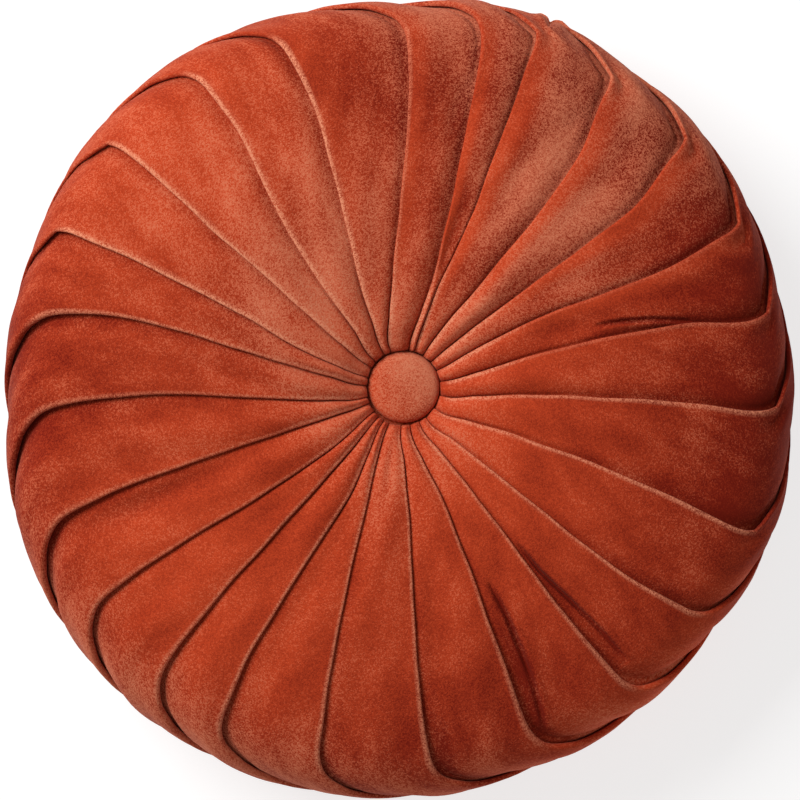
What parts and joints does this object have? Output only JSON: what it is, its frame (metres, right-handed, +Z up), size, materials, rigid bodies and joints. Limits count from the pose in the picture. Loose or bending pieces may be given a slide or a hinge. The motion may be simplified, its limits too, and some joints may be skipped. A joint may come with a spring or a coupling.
{
  "type": "round cushion",
  "caption": "Round knife-pleated velvet cushion with a covered button drawn into the middle of each face, lying on its back.",
  "frame": {"origin": "under the middle of the cushion's outline, on the surface that it lies on", "axes": "+Z up out of the front face, +Y to the top of the pictured view and +X to its right"},
  "size_m": [0.3998, 0.4043, 0.1063],
  "materials": {
    "cover_velvet": "matt rust-red cotton velvet, brushed both ways",
    "button_velvet": "the same velvet stretched over a domed button"
  },
  "bodies": {
    "root": {"pleated_cover": "cover_velvet", "front_button": "button_velvet", "back_button": "button_velvet"}
  },
  "joints": []
}
